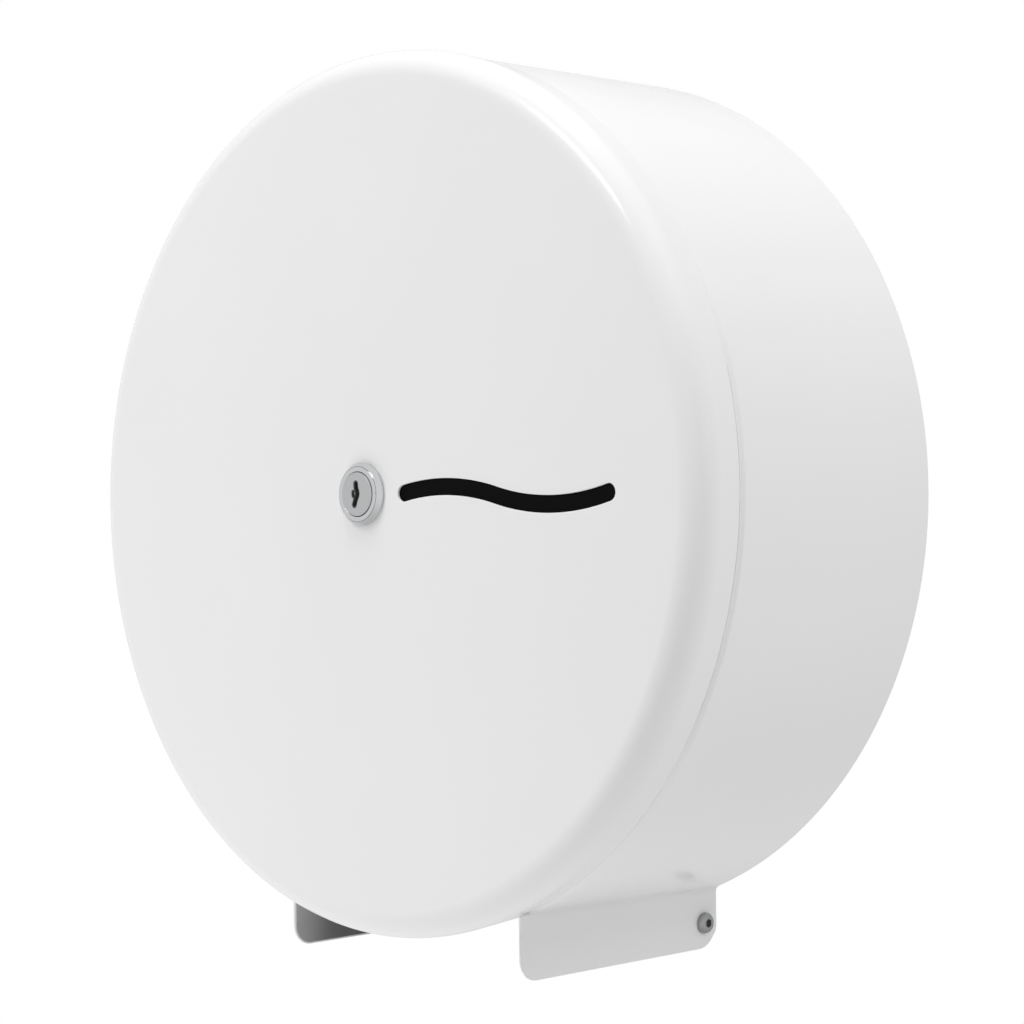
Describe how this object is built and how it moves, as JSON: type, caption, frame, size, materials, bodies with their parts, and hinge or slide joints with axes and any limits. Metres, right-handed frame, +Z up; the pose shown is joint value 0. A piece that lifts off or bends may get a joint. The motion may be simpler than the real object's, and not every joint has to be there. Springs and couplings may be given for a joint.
{
  "type": "jumbo toilet roll dispenser",
  "caption": "Round wall dispenser for a large toilet roll: a drum-shaped steel cover with a central cam lock and a wavy sight slot hinges down from a back plate and spindle.",
  "frame": {"origin": "on the axis of the round case, in the plane of the wall, at the centre of the wall screw pattern", "axes": "+Y into the wall, +Z up, +X to the right of a person who faces the dispenser"},
  "size_m": [0.312, 0.1228, 0.3217],
  "materials": {
    "white_powder_coat": "gloss",
    "zinc_plated_steel": "satin",
    "chrome_plate": "polished",
    "satin_chrome": "satin",
    "stainless_screw": "satin",
    "brass": "machined",
    "hub_plastic": "satin",
    "nylon": "matte",
    "smoked_plastic": "gloss"
  },
  "bodies": {
    "base": {"back_plate": "white_powder_coat", "hinge_bracket": "white_powder_coat", "bracket_rivets": "zinc_plated_steel", "hinge_nuts": "zinc_plated_steel", "hinge_washers": "nylon", "hinge_screws": "stainless_screw", "spindle_flange": "zinc_plated_steel", "flange_rivets": "zinc_plated_steel", "spindle_post": "zinc_plated_steel", "spindle_insert": "brass", "hub_washer": "nylon", "hub_clip": "zinc_plated_steel", "lock_keeper": "zinc_plated_steel", "keeper_screw": "zinc_plated_steel"},
    "cover": {"cover_dish": "white_powder_coat", "cover_band": "white_powder_coat", "sight_window": "smoked_plastic", "lock_body": "chrome_plate", "lock_washer": "zinc_plated_steel", "lock_nut": "zinc_plated_steel"},
    "plug": {"lock_plug": "satin_chrome", "stop_washer": "zinc_plated_steel", "lock_cam": "zinc_plated_steel", "cam_screw": "zinc_plated_steel"},
    "hub": {"roll_hub": "hub_plastic"}
  },
  "joints": [
    {"name": "cover_hinge", "type": "hinge", "parent": "base", "child": "cover", "pos_m": [0, -0.0097, -0.1564], "axis": [1, 0, 0], "range_deg": [0, 90]},
    {"name": "lock_turn", "type": "hinge", "parent": "cover", "child": "plug", "pos_m": [0, -0.11, 0], "axis": [0, 1, 0], "range_deg": [0, 90]},
    {"name": "hub_spin", "type": "hinge", "parent": "base", "child": "hub", "pos_m": [0, -0.04, 0], "axis": [0, 1, 0], "continuous": true}
  ]
}
